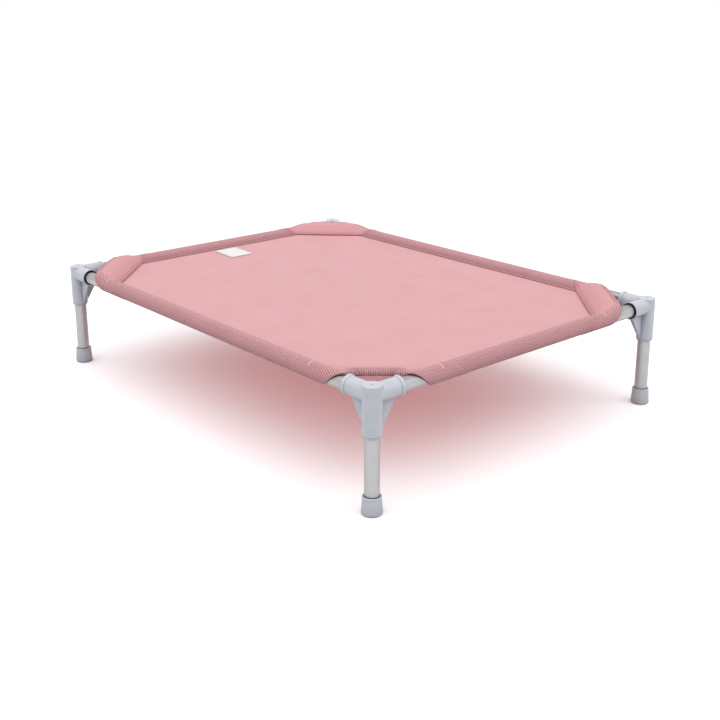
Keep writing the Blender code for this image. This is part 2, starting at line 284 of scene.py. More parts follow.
def raise_surface(tree, shader, height, **values):
    """Bump from a height."""
    relief = add_node(tree, "ShaderNodeBump", **values)
    tree.links.new(height, relief.inputs["Height"])
    tree.links.new(relief.outputs[0], shader.inputs["Normal"])


# %% Weave
RIB_PITCH = 3.4 * MM
THREAD_PITCH = 1.4 * MM
RIB_SHARE = 0.75  # of the weave's height, and the finer threads give the rest
RIB_TURN = 65  # degrees
WAVE_PERIOD = 2 * math.pi / 20  # of a wave texture at scale 1


def flat_map(tree, name="cloth"):
    return add_node(tree, "ShaderNodeUVMap", uv_map=name).outputs[0]


def turned_map(tree, flat, turn):
    mapping = add_node(tree, "ShaderNodeMapping")
    mapping.inputs["Rotation"].default_value = (0, 0, math.radians(turn))
    tree.links.new(flat, mapping.inputs["Vector"])
    return mapping.outputs[0]


def stripes(tree, flat, turn, pitch, distortion):
    """Even stripes on the flat map, turned by an angle and with the given pitch in metres."""
    wave = add_node(tree, "ShaderNodeTexWave", wave_type="BANDS", bands_direction="X", wave_profile="SIN")
    wave.inputs["Scale"].default_value = WAVE_PERIOD / pitch
    wave.inputs["Distortion"].default_value = distortion
    wave.inputs["Detail"].default_value = 1
    tree.links.new(turned_map(tree, flat, turn), wave.inputs["Vector"])
    return wave.outputs["Fac"]


def shade_across(tree, flat, low, high, stops):
    """Painted light and shade: a tint that changes with the flat map's second coordinate between two values.
    """
    way = calculated(tree, "SUBTRACT", parts_of(tree, flat)["Y"], low)
    share = calculated(tree, "DIVIDE", way, high - low)
    return colour_ramp(tree, share, [((at - low) / (high - low), colour) for at, colour in stops])


def weave_on(tree, flat, light, dark, contrast, painted_shading=None, speckles=0.93, turn=RIB_TURN):
    """Colour and height of the weave on a flat map, with painted light and shade across it where given."""
    ribs = stripes(tree, flat, turn, RIB_PITCH, 0.8)
    threads = stripes(tree, flat, turn - 90, THREAD_PITCH, 0.6)
    slubs = noise_at(tree, flat, Scale=420.0, Detail=2.0)
    height = sum_of(tree, ribs, RIB_SHARE, threads, 1 - RIB_SHARE)
    colour = colour_ramp(tree, height, [(0.5 - contrast, dark), (0.5 + contrast, light)])
    speckle = (speckles, speckles, speckles)
    colour = tinted(tree, colour, colour_ramp(tree, slubs, [(0.35, speckle), (0.6, WHITE)]))
    if painted_shading:
        colour = tinted(tree, colour, shade_across(tree, flat, *painted_shading))
    return colour, height


# %% Stitches
STITCH_PITCH = 3.8 * MM
STITCH_WIDTH = 0.8 * MM
STITCH_SHARE = 0.72  # of the pitch, and the rest is the gap between two stitches
STITCH_HEIGHT = 1.5  # of the weave's height
SEAM_COLOUR = (0.78, 0.45, 0.48, 1)
THREAD_COLOUR = (0.93, 0.66, 0.68, 1)
TACK_REACH = 133 * MM  # from the leg's axis along a rail
TACK_MIDDLE = 3 * MM  # past the rail's crest
TACK_HALF_WIDTH, TACK_HALF_LENGTH = 1 * MM, 8 * MM


def stitch_rows(tree, flat, rows):
    """A mask for rows of stitches on the flat map, at the given values of its second coordinate."""
    parts = parts_of(tree, flat)
    repeat = calculated(tree, "FRACT", calculated(tree, "DIVIDE", parts["X"], STITCH_PITCH))
    dash = calculated(tree, "LESS_THAN", repeat, STITCH_SHARE)
    lines = [within(tree, parts["Y"], row, STITCH_WIDTH / 2) for row in rows]
    return calculated(tree, "MULTIPLY", highest(tree, *lines), dash)


def bar_tacks(tree, strip):
    """A mask for the short dense bars of thread that tie a hem down on its two sleeves."""
    parts = parts_of(tree, strip)
    along = within(tree, calculated(tree, "ABSOLUTE", parts["X"]), TACK_REACH, TACK_HALF_WIDTH)
    across = within(tree, parts["Y"], TACK_MIDDLE, TACK_HALF_LENGTH)
    return calculated(tree, "MULTIPLY", along, across)


# %% Cloth material
THROUGH = 0.15  # share of the light that gets through
GLOW = (0.8, 0.06, 0.055, 1)  # its colour


def cloth_material(name, weave, bump, stitches=(), round_weave=None):
    """Woven cloth. The attribute round_share mixes in the round weave, which lies on the map called strip."""
    material, tree, shader = new_material(name, 0.78)
    flat = flat_map(tree)
    colour, height = weave_on(tree, flat, **weave)
    if round_weave:
        strip = flat_map(tree, "strip")
        round_colour, round_height = weave_on(tree, strip, **round_weave)
        share = add_node(tree, "ShaderNodeAttribute", attribute_name="round_share").outputs["Fac"]
        colour = blended(tree, share, colour, round_colour)
        height = sum_of(tree, height, calculated(tree, "SUBTRACT", 1.0, share), round_height, share)
    place = add_node(tree, "ShaderNodeTexCoord").outputs["Object"]
    patches = noise_at(tree, place, Scale=16.0, Detail=3.0, Roughness=0.6)
    colour = tinted(tree, colour, colour_ramp(tree, patches, [(0.35, (0.97, 0.95, 0.93)), (0.65, WHITE)]))
    if stitches:
        sewn = stitch_rows(tree, flat, stitches)
        colour = blended(tree, sewn, colour, SEAM_COLOUR)
        if round_weave:
            tacks = bar_tacks(tree, strip)
            colour = blended(tree, tacks, colour, THREAD_COLOUR)
            sewn = highest(tree, sewn, tacks)
        height = calculated(tree, "ADD", height, calculated(tree, "MULTIPLY", sewn, STITCH_HEIGHT))
    tree.links.new(colour, shader.inputs["Base Color"])
    shader.inputs["Sheen Weight"].default_value = 0.12
    shader.inputs["Sheen Roughness"].default_value = 0.4
    shader.inputs["Specular IOR Level"].default_value = 0.25
    raise_surface(tree, shader, height, Strength=bump, Distance=0.45 * MM)
    glow = add_node(tree, "ShaderNodeBsdfTranslucent", Color=GLOW)
    mix = add_node(tree, "ShaderNodeMixShader")
    fill(tree, mix.inputs, (THROUGH, shader.outputs[0], glow.outputs[0]))
    tree.links.new(mix.outputs[0], tree.nodes["Material Output"].inputs["Surface"])
    return material


PANEL_WEAVE = {"light": (0.885, 0.52, 0.545), "dark": (0.82, 0.452, 0.477), "contrast": 0.35}
panel_cloth = cloth_material("panel_mesh_cloth", PANEL_WEAVE, 0.3)
print("panel cloth:", panel_cloth.name)

# %% [markdown]
# ## The panel
# The panel is one eight-sided sheet of cloth. It is made as the real one is cut: a flat grid whose corners
# are taken off by bisecting, a little inside the hems, so that no gap shows under them. It is drawn tight
# between the sleeves, so a cloth simulation would only find the shallow bowl that a short formula gives at
# once.

# %% Cut the panel
EDGE_INSET = 18 * MM  # from the rails' axes to the panel's edges
SEAM_REACH = 150 * MM  # from a leg's axis along a rail to the line of the corner's seam
TUCK = 9 * MM  # of the panel under a hem
PANEL_STEP = 6 * MM
panel_long = 2 * (HALF_LONG - EDGE_INSET)
panel_short = 2 * (HALF_SHORT - EDGE_INSET)


def apply_size(piece, size):
    """Scale a flat piece to its size, and leave it at the origin with no scale."""
    piece.scale = (*size, 1)
    make_active(piece)
    bpy.ops.object.transform_apply(location=True, rotation=True, scale=True)


clear_selection()
bpy.ops.mesh.primitive_grid_add(
    x_subdivisions=round(panel_long / PANEL_STEP),
    y_subdivisions=round(panel_short / PANEL_STEP),
    size=1,
    location=(0, 0, RAIL_Z),
)
panel = bpy.context.object
panel.name = panel.data.name = "sling_sheet"
apply_size(panel, (panel_long, panel_short))
bpy.ops.object.mode_set(mode="EDIT")
for side_x in (-1, 1):
    for side_y in (-1, 1):
        bpy.ops.mesh.select_all(action="SELECT")
        on_cut = (side_x * (HALF_LONG - SEAM_REACH + TUCK), side_y * HALF_SHORT, RAIL_Z)
        bpy.ops.mesh.bisect(plane_co=on_cut, plane_no=(side_x, side_y, 0), clear_outer=True)
bpy.ops.object.mode_set(mode="OBJECT")
print("panel faces:", len(panel.data.polygons))

# %% A flat map in metres


def points_of(piece):
    flat = np.empty(len(piece.data.vertices) * 3)
    piece.data.vertices.foreach_get("co", flat)
    return flat.reshape(-1, 3)


def set_points(piece, points):
    piece.data.vertices.foreach_set("co", np.asarray(points, float).ravel())
    piece.data.update()


def area_of(piece):
    return sum(face.area for face in piece.data.polygons)


def add_map(piece, name, flat):
    """A UV map that holds each point's place on the flat cloth, in metres."""
    layer = piece.data.uv_layers.new(name=name)
    corner_points = np.empty(len(piece.data.loops), int)
    piece.data.loops.foreach_get("vertex_index", corner_points)
    layer.data.foreach_set("uv", np.asarray(flat, float)[corner_points].ravel())


def add_cloth_map(piece, flat):
    """The map called cloth, in place of the maps that the piece was made with."""
    for old in list(piece.data.uv_layers):
        piece.data.uv_layers.remove(old)
    add_map(piece, "cloth", flat)


add_cloth_map(panel, points_of(panel)[:, :2] * (1, -1))

# %% Let the panel hang
SAG = 6 * MM
SAG_INSET = 24 * MM  # from the rails' axes to where the sag starts


def sagged(points):
    share_x = np.clip(np.abs(points[:, 0]) / (HALF_LONG - SAG_INSET), 0, 1)
    share_y = np.clip(np.abs(points[:, 1]) / (HALF_SHORT - SAG_INSET), 0, 1)
    moved = points.copy()
    moved[:, 2] = RAIL_Z - SAG * (1 - share_x**2) * (1 - share_y**2)
    return moved


set_points(panel, sagged(points_of(panel)))
panel.data.materials.append(panel_cloth)
make_active(panel)
bpy.ops.object.shade_smooth()
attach(panel, "root")
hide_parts("sling_panel")
print("panel hangs by (mm):", round((RAIL_Z - points_of(panel)[:, 2].min()) / MM, 1))

# %% [markdown]
# ## The sleeves
# Each sleeve is a strip of the same cloth, folded round its rail. Its two long edges are sewn to the panel
# between them. The strip starts as a flat grid. Then each point is moved to its folded place, so the flat
# map stays true to the threads. On the flat strip both ends are cut at 45 degrees, which opens an arch
# under each corner.

# %% Fold a strip
CLOTH = 1.2 * MM  # thickness
LOOSE = 0.7 * MM  # between the rail and the cloth
SLEEVE_RADIUS = RAIL_RADIUS + LOOSE + CLOTH / 2
SEAM_INWARD = 17 * MM  # from the rail's axis to the seam
LIP = 7 * MM  # past the seam
LIP_RISE = 1.5 * MM  # of the upper lip over the panel, and of the lower one below it
SLEEVE_PUFF = 1.0 * MM  # of the sleeve's upper flank
to_seam = math.hypot(SEAM_INWARD, LIP_RISE)
straight = math.sqrt(to_seam**2 - SLEEVE_RADIUS**2)
lean = math.pi / 2 - math.acos(SLEEVE_RADIUS / to_seam) - math.atan2(LIP_RISE, SEAM_INWARD)
over = SLEEVE_RADIUS * lean
under = SLEEVE_RADIUS * (math.pi + lean)
FIRST = -(over + straight + LIP)
LAST = under + straight + LIP


def folded(way):
    """(inward, up) of a point on the strip, whose way is measured past the crest of the rail."""
    angle = np.clip(way / SLEEVE_RADIUS, -lean, math.pi + lean)
    inward = -SLEEVE_RADIUS * np.sin(angle)
    up = SLEEVE_RADIUS * np.cos(angle)
    top = np.clip((-over - way) / straight, 0, 1)
    low = np.clip((way - under) / straight, 0, 1)
    side = top + low
    rise = np.where(way < 0, LIP_RISE, -LIP_RISE)
    inward = inward + side * (SEAM_INWARD - inward)
    up = up + side * (rise - up)
    past = np.clip(-over - straight - way, 0, None) + np.clip(way - under - straight, 0, None)
    return inward + past, up


print("strip is", round((LAST - FIRST) / MM), "mm wide when flat")

# %% Sleeve cloth
LONG_TURN = 76  # degrees, because the photograph's ribs lie at another angle on the long sleeves
# Painted light and shade across a sleeve: darker at the inner seam, lighter on the crest, and lighter again
# on its outer flank.
CREST_PAINTED_LIGHT_AND_SHADE = (
    FIRST,
    LAST,
    [
        # (way past the crest, tint of painted light and shade)
        (FIRST, (0.95, 0.93, 0.93)),
        (-21 * MM, (0.80, 0.76, 0.77)),
        (-14 * MM, (0.93, 0.91, 0.92)),
        (-3 * MM, (1.12, 1.14, 1.12)),
        (9 * MM, (1.0, 0.98, 0.98)),
        (24 * MM, (1.16, 1.12, 1.12)),
        (LAST, (1.0, 0.97, 0.98)),
    ],
)
# The sleeves' weave is darker than the panel's: the grey rail shows through the mesh, and the colour also
# holds painted shade for the light that the rail keeps from coming through.
SLEEVE_WEAVE = {
    "light": (0.85, 0.51, 0.54),
    "dark": (0.52, 0.235, 0.26),
    "contrast": 0.3,
    "painted_shading": CREST_PAINTED_LIGHT_AND_SHADE,
    "speckles": 0.76,
}
LONG_WEAVE = {**SLEEVE_WEAVE, "turn": LONG_TURN}
LIP_ROWS = (FIRST + LIP / 2, LAST - LIP / 2)
short_sleeve_cloth = cloth_material("short_sleeve_mesh_cloth", SLEEVE_WEAVE, 0.8, LIP_ROWS)
long_sleeve_cloth = cloth_material("long_sleeve_mesh_cloth", LONG_WEAVE, 0.8, LIP_ROWS)
print("sleeve cloths:", short_sleeve_cloth.name, long_sleeve_cloth.name)

# %% The corners


class Corner(NamedTuple):
    """A corner's side of the bed, and how its hem lies. All slides and the bow are away from the leg."""

    side_x: int
    side_y: int
    slide_x: float = 0  # of the hem's outer edge, on the rail along X
    slide_y: float = 0  # and on the rail along Y
    bow: float = 0  # of the middle of that edge
    seam_x: float = 0  # slide of the hem's seam, on the rail along X
    seam_y: float = 0  # and on the rail along Y
    rise: float = 7 * MM  # of the hem's crest over the sleeves


CORNERS = {
    "front_left": Corner(-1, -1, 8 * MM, 15 * MM, bow=-7 * MM, seam_x=5 * MM, seam_y=5 * MM, rise=9 * MM),
    "front_right": Corner(1, -1, -12 * MM, -1 * MM, bow=8 * MM, rise=3.2 * MM),
    "rear_right": Corner(1, 1, 21 * MM, 7 * MM, bow=-2 * MM, seam_x=16 * MM, seam_y=2 * MM, rise=8 * MM),
    "rear_left": Corner(-1, 1),
}
SIDES = {
    # side: (corner it starts at, corner it ends at, direction along, direction inward)
    "front": ("front_left", "front_right", (1, 0), (0, 1)),
    "right": ("front_right", "rear_right", (0, 1), (-1, 0)),
    "rear": ("rear_right", "rear_left", (-1, 0), (0, -1)),
    "left": ("rear_left", "front_left", (0, -1), (1, 0)),
}
print("crests over the sleeves (mm):", [round(corner.rise / MM, 1) for corner in CORNERS.values()])

# %% Make the sleeves
CORNER_CUT = 73 * MM  # from the leg's axis to the end of the sleeve on its crest
INNER_END = 62 * MM  # and to its end on the inner side, where that is cut square
EDGE_FOLD = 0.85 * MM  # radius of the hem's edge where it lies flat on the sleeve
SLEEVE_STEP = 5 * MM
SLEEVE_ROWS = 44


def end_at(way, inward):
    """The strip's end from the leg's axis, for a way past the crest."""
    upper = np.maximum(CORNER_CUT - inward, INNER_END)
    return np.where(way > 0, CORNER_CUT + way, upper) + 2 * EDGE_FOLD


def apply_modifier(piece, modifier):
    make_active(piece)
    bpy.ops.object.modifier_apply(modifier=modifier.name)


def thicken(piece, thickness):
    """Give a sheet its thickness, half to each side."""
    wall = piece.modifiers.new("Thickness", "SOLIDIFY")
    wall.thickness = thickness
    wall.offset = 0
    apply_modifier(piece, wall)


def make_sleeve(side):
    first, last, along, inwards = SIDES[side]
    first, last = CORNERS[first], CORNERS[last]
    is_long = along[0] != 0
    length = 2 * (HALF_LONG if is_long else HALF_SHORT)
    slide_first, slide_last = (end.slide_x if is_long else end.slide_y for end in (first, last))
    clear_selection()
    steps = round(length / SLEEVE_STEP)
    bpy.ops.mesh.primitive_grid_add(x_subdivisions=steps, y_subdivisions=SLEEVE_ROWS, size=1)
    strip = bpy.context.object
    strip.name = strip.data.name = f"sleeve_{side}_cloth"
    share = points_of(strip)[:, 0] + 0.5
    way = FIRST + (points_of(strip)[:, 1] + 0.5) * (LAST - FIRST)
    inward, up = folded(way)
    start = end_at(way, inward) + slide_first
    stop = length - end_at(way, inward) - slide_last
    place = start + share * (stop - start)
    hand = 1 if is_long else -1
    add_cloth_map(strip, np.column_stack([hand * place, way]))
    puff = SLEEVE_PUFF * np.sin(math.pi * np.clip((-over - way) / straight, 0, 1))
    inward = inward + puff * math.sin(lean)
    up = up + puff * math.cos(lean)
    x = first.side_x * HALF_LONG + along[0] * place + inwards[0] * inward
    y = first.side_y * HALF_SHORT + along[1] * place + inwards[1] * inward
    set_points(strip, np.column_stack([x, y, RAIL_Z + up]))
    thicken(strip, CLOTH)
    bpy.ops.object.shade_smooth_by_angle(angle=math.radians(40))
    strip.data.materials.append(long_sleeve_cloth if is_long else short_sleeve_cloth)
    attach(strip, "root")
    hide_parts(f"sleeve_{side}")
    return strip


sleeves = {side: make_sleeve(side) for side in SIDES}
print("sleeves:", ", ".join(sleeve.name for sleeve in sleeves.values()))

# %% [markdown]
# ## The corner hems
# Across each corner the cloth is turned under into a wide hem. On the flat cloth this hem is a straight
# band at 45 degrees. It rises from the panel's seam to the height of the sleeves, lies on both of them, and
# wraps round their ends. Between them its edge rolls over and comes back below, and the slack cloth stands
# up in a puff. Sculpting would have to be done four times, and a simulation is hard to steer to the shape
# in the photograph. So one grid holds the band, the roll and the return, and formulas lay it in place. The
# weave then runs on without a break. The part of the return that would meet a sleeve is cut away.

# %% Heights under and on a hem
SLEEVE_GAP, LIP_GAP, PANEL_GAP = 0.5 * MM, 0.4 * MM, 0.3 * MM  # between a hem and what it lies on
SKIN = SLEEVE_RADIUS + CLOTH / 2 + SLEEVE_GAP  # from the rail's axis to a hem round the sleeve
LIP_TOP = LIP_RISE + CLOTH / 2 + LIP_GAP
PANEL_TOP = CLOTH / 2 + PANEL_GAP
OFF_LIP = 2 * MM  # way on which a hem comes down from the lip to the panel
CREST_AT = 0.92  # share of the band where it is highest
BLEND, BLEND_REACH = 1.6 * MM, 8 * MM  # how softly the band meets the sleeve, and how far from its crest


def eased(share):
    """0 below 0, 1 above 1, and a smooth rise between."""
    share = np.clip(share, 0, 1)
    return share * share * (3 - 2 * share)


def sleeve_top(inward):
    """Height over the rail's axis of cloth that lies on a sleeve, at a distance inward of its crest."""
    turn_in, turn_up = SKIN * math.sin(lean), SKIN * math.cos(lean)
    round_top = np.sqrt(np.clip(SKIN**2 - inward**2, 0, None))
    share = np.clip((inward - turn_in) / (SEAM_INWARD - turn_in), 0, 1)
    flank = turn_up + (LIP_TOP - turn_up) * share + SLEEVE_PUFF * np.sin(math.pi * share)
    off_lip = eased((inward - SEAM_INWARD - LIP) / OFF_LIP)
    return np.where(inward < turn_in, round_top, flank + (PANEL_TOP - LIP_TOP) * off_lip)


def hem_top(a, b, share, crest):
    """Height of the hem between the sleeves: the band's own rise, or the sleeve where that is higher."""
    band = PANEL_TOP + (crest - PANEL_TOP) * np.sin(np.clip(share / CREST_AT, 0, 1) * math.pi / 2)
    rest = np.maximum(sleeve_top(np.clip(a, 0, None)), sleeve_top(np.clip(b, 0, None)))
    soft = BLEND * eased(np.minimum(a, b) / BLEND_REACH)
    return (band + rest + np.sqrt((band - rest) ** 2 + soft**2)) / 2


print("a hem lies on a sleeve", round((SKIN - RAIL_RADIUS) / MM, 1), "mm over the rail")

# %% Hem cloth
HEM_LINE = (SEAM_REACH - 4 * MM) / math.sqrt(2)
# Painted light and shade across a hem: lighter towards its crest, and darker into the crease at its seam.
HEM_PAINTED_LIGHT_AND_SHADE = (
    50 * MM,
    110 * MM,
    [
        # (way from the leg across the band, tint of painted light and shade)
        (60 * MM, (1.06, 1.08, 1.07)),
        (74 * MM, (1.0, 1.0, 1.0)),
        (96 * MM, (0.95, 0.92, 0.92)),
        (102 * MM, (0.78, 0.71, 0.72)),
        (105.5 * MM, (0.63, 0.55, 0.56)),
    ],
)
HEM_WEAVE = {
    "light": (0.90, 0.485, 0.515),
    "dark": (0.79, 0.395, 0.42),
    "contrast": 0.4,
    "painted_shading": HEM_PAINTED_LIGHT_AND_SHADE,
}
hem_cloth = cloth_material("hem_mesh_cloth", HEM_WEAVE, 0.6, [HEM_LINE], round_weave=SLEEVE_WEAVE)
print("hem cloth:", hem_cloth.name)

# %% Lay a hem in place
WRAP = SKIN * (math.pi + 0.5 * lean)  # length that goes round a sleeve
BRIDGE = 0.66  # share of the grid's columns between the two crests, and the others go round the sleeves
BAND, ROLL = 0.60, 0.76  # share of the rows where the band ends, and where the roll ends
HEM_NOSE = 5.6 * MM  # radius of the roll in the middle
PUFF_WIDTH = 0.4  # share of the half width over which the puff and the roll grow
LIFT_SHARE = 0.5  # of the crest's rise that is left where the hem meets a sleeve's crest
WRAP_FADE = 2.0  # radians round the sleeve until that is gone
BESIDE_START, BESIDE_FADE = 1 * MM, 7 * MM  # past a sleeve's crest, where its weave gives way to the hem's
# Near the roll, the sleeves' darker, ribbed weave comes into the hem; its darkness there is painted shade on
# the roll.
NOSE_START, NOSE_FADE = 0.78, 0.2  # shares of the band, where the sleeves' weave comes back near the roll


def between(at_x, at_y, sideways):
    """A value that is at_y at the end over the rail along Y, and at_x at the other end."""
    return (at_x + at_y) / 2 + (at_x - at_y) / 2 * sideways


def lay_hem(corner, column, row):
    """Points, cloth map, strip map and share of the sleeves' weave, for places on the grid.

    On the cloth, a is the way inward from the crest of the rail along Y, and b from that of the rail along X.
    They are negative where the cloth goes round a sleeve. u and v are the same ways as seen from above.
    """
    sideways = np.clip(column / BRIDGE, -1, 1)
    puffed = eased((1 - np.abs(sideways)) / PUFF_WIDTH)
    wrapped = np.clip(np.abs(column) - BRIDGE, 0, None) / (1 - BRIDGE) * WRAP
    share = np.clip(row / BAND, 0, 1)
    angle = np.clip((row - BAND) / (ROLL - BAND), 0, 1) * math.pi
    back = np.clip((row - ROLL) / (1 - ROLL), 0, 1)

    lift = LIFT_SHARE * corner.rise * eased(1 - wrapped / SKIN / WRAP_FADE)
    fold = np.maximum(EDGE_FOLD, lift / 2)
    roll = fold + (HEM_NOSE - fold) * puffed
    slide = between(corner.slide_x, corner.slide_y, sideways)
    edge = CORNER_CUT + slide + corner.bow * (1 - sideways**2) + roll * math.sqrt(2)
    seam = SEAM_REACH + between(corner.seam_x, corner.seam_y, sideways)
    total = seam + (edge - seam) * share * (1 - back)
    step = roll * np.sin(angle) / math.sqrt(2)
    outward = np.where(column > 0, wrapped, -wrapped)
    a = total * (1 + sideways) / 2 + outward - step
    b = total * (1 - sideways) / 2 - outward - step

    crest = SKIN + corner.rise * (LIFT_SHARE + (1 - LIFT_SHARE) * puffed)
    top = hem_top(a, b, share, crest)
    drop = roll * (1 - np.cos(angle))
    up = (top - drop) * (1 - back) - PANEL_TOP * back
    spun_a, spun_b = -np.minimum(a, 0) / SKIN, -np.minimum(b, 0) / SKIN
    spun = np.maximum(spun_a, spun_b)
    radius = SKIN - drop + (top - SKIN) * eased(1 - spun / WRAP_FADE)
    u = np.where(a < 0, -radius * np.sin(spun_a), a)
    v = np.where(b < 0, -radius * np.sin(spun_b), b)
    up = np.where(spun > 0, radius * np.cos(spun), up)

    x, y = corner.side_x * (HALF_LONG - u), corner.side_y * (HALF_SHORT - v)
    flat = np.column_stack([a - b, a + b + SEAM_REACH - seam]) / math.sqrt(2)
    hand = corner.side_x * corner.side_y
    strip = np.column_stack([hand * np.where(b < a, a, b), -np.where(b < a, b, a)])
    beside = eased(1 - (np.minimum(a, b) - BESIDE_START) / BESIDE_FADE)
    # The darker sleeve weave near the roll paints shade on it.
    painted_nose_shade = eased((share - NOSE_START) / NOSE_FADE) * eased((1 - np.abs(sideways)) / NOSE_FADE + 0.5)
    return np.column_stack([x, y, RAIL_Z + up]), flat, strip, np.maximum(beside, painted_nose_shade)


print("a hem goes", round(WRAP / MM), "mm round each sleeve")

# %% Make the hems
HEM_COLUMNS, HEM_ROWS = 96, 56
KEPT = 0.66  # share of the bridge's half width where the return is kept
ROW_MARGIN = 0.001  # so that the row at the roll's end stays


def cut_return(hem, dropped):
    """Delete the faces that touch a dropped point, and turn the others the same way out."""
    make_active(hem)
    bpy.ops.object.mode_set(mode="EDIT")
    bpy.ops.mesh.select_all(action="DESELECT")
    bpy.ops.object.mode_set(mode="OBJECT")
    for face in hem.data.polygons:
        face.select = any(dropped[index] for index in face.vertices)
    bpy.ops.object.mode_set(mode="EDIT")
    bpy.ops.mesh.select_mode(type="FACE")
    bpy.ops.mesh.delete(type="FACE")
    bpy.ops.mesh.select_all(action="SELECT")
    bpy.ops.mesh.normals_make_consistent(inside=False)
    bpy.ops.object.mode_set(mode="OBJECT")


def make_hem(name):
    clear_selection()
    bpy.ops.mesh.primitive_grid_add(x_subdivisions=HEM_COLUMNS, y_subdivisions=HEM_ROWS, size=2)
    hem = bpy.context.object
    hem.name = hem.data.name = f"hem_{name}_cloth"
    column, row = points_of(hem)[:, 0], (points_of(hem)[:, 1] + 1) / 2
    points, flat, strip, round_share = lay_hem(CORNERS[name], column, row)
    set_points(hem, points)
    add_cloth_map(hem, flat)
    add_map(hem, "strip", strip)
    shares = hem.data.attributes.new("round_share", "FLOAT", "POINT")
    shares.data.foreach_set("value", round_share)
    cut_return(hem, (row > ROLL + ROW_MARGIN) & (np.abs(column) > BRIDGE * KEPT))
    bpy.ops.object.shade_smooth()
    hem.data.materials.append(hem_cloth)
    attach(hem, "root")
    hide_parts(f"corner_hem_{name}")
    return hem


hems = [make_hem(name) for name in CORNERS]
print("hems:", len(hems), "cut areas (cm2)", [round(area_of(hem) * 1e4) for hem in hems])

# %% [markdown]
# ## The label
# A small woven label is sewn on beside the left sleeve. On this bed it is plain white. It is a thin sheet
# that follows the panel's sag, with its own finer weave and a row of grey stitches along each edge.

# %% Label cloth
LABEL = (64 * MM, 52 * MM)
LABEL_GAP = 16 * MM  # from the sleeve's seam to the label
LABEL_SEAM = 2.2 * MM  # from the label's edge to its stitches
LABEL_THREAD = (0.62, 0.60, 0.59, 1)
WEFT_PITCH = 0.9 * MM
label_cloth, tree, shader = new_material("label_cloth", 0.7)


def edge_rows(size):
    """Two rows of stitches, one along each edge of a label of this size."""
    return [side * (size / 2 - LABEL_SEAM) for side in (-1, 1)]


flat = flat_map(tree)
weft = stripes(tree, flat, 90, WEFT_PITCH, 0.3)
colour = colour_ramp(tree, weft, [(0.1, (0.80, 0.80, 0.78)), (0.8, (0.92, 0.92, 0.90))])
long_rows = stitch_rows(tree, flat, edge_rows(LABEL[1]))
short_rows = stitch_rows(tree, turned_map(tree, flat, 90), edge_rows(LABEL[0]))
sewn = highest(tree, long_rows, short_rows)
tree.links.new(blended(tree, sewn, colour, LABEL_THREAD), shader.inputs["Base Color"])
raise_surface(tree, shader, calculated(tree, "SUBTRACT", weft, sewn), Strength=0.5, Distance=0.3 * MM)
print("label cloth:", label_cloth.name)

# %% Label
LABEL_RISE = 1.3 * MM  # over the panel's middle
LABEL_THICKNESS = 0.6 * MM
label_x = -HALF_LONG + SEAM_INWARD + LABEL_GAP + LABEL[0] / 2
clear_selection()
bpy.ops.mesh.primitive_grid_add(x_subdivisions=26, y_subdivisions=22, size=1, location=(label_x, 0, 0))
label = bpy.context.object
label.name = label.data.name = "plain_label"
apply_size(label, LABEL)
add_cloth_map(label, points_of(label)[:, :2] - (label_x, 0))
raised = sagged(points_of(label))
raised[:, 2] += LABEL_RISE
set_points(label, raised)
label.data.materials.append(label_cloth)
thicken(label, LABEL_THICKNESS)
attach(label, "root")
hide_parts("blank_label")
print("label is", round((label_x + HALF_LONG) / MM), "mm from the left rail")

# %% [markdown]
# ## Plastic, metal and rubber
# The connectors and caps are moulded, so every edge has a small radius that catches the light, and creases
# are darker because less light reaches them. All the frame's materials also paint shade into creases. The
# tubes are satin aluminium. The CAD shapes are right, but they are loose flat triangles. So each one is
# copied, its points are merged, flat triangles are joined to whole faces, and a narrow bevel rounds the
# edges. Then smooth shading makes the round parts round.

# %% Dark marks and painted collar shade
# The dark line at each collar is painted shade at the collar's step.
COLLAR_START, COLLAR_HALF_WIDTH = 45.3 * MM, 0.6 * MM  # of the line, from the leg's axis
MOUTH_RISE, MOUTH_HALF_WIDTH = 3.4 * MM, 0.4 * MM  # of the line, over the connector's lower end
GATE_RADIUS = 2.3 * MM
MARK_AND_SHADE_COLOUR, MARK_AND_SHADE_STRENGTH = (0.22, 0.24, 0.29, 1), 0.7
mouth_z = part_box("corner_connector_front_left")[0].z + MOUTH_RISE


def collar_shade_and_dark_marks(tree, place):
    """A mask for fine dark marks: painted shade at each collar's step, a line round the leg's mouth, and the
    gate.
    """
    parts = parts_of(tree, place)
    arm_x = calculated(tree, "SUBTRACT", HALF_LONG, calculated(tree, "ABSOLUTE", parts["X"]))
    arm_y = calculated(tree, "SUBTRACT", HALF_SHORT, calculated(tree, "ABSOLUTE", parts["Y"]))
    collars = [within(tree, arm, COLLAR_START, COLLAR_HALF_WIDTH) for arm in (arm_x, arm_y)]
    mouth = within(tree, parts["Z"], mouth_z, MOUTH_HALF_WIDTH)
    squares = sum_of(tree, arm_x, arm_x, arm_y, arm_y)
    gate = calculated(tree, "LESS_THAN", squares, GATE_RADIUS**2)
    return highest(tree, *collars, mouth, gate)


print("mouth line at a height of (mm):", round(mouth_z / MM, 1))

# %% Materials of the frame
BROAD, NARROW = 30 * MM, 9 * MM  # reach of the shadow in creases


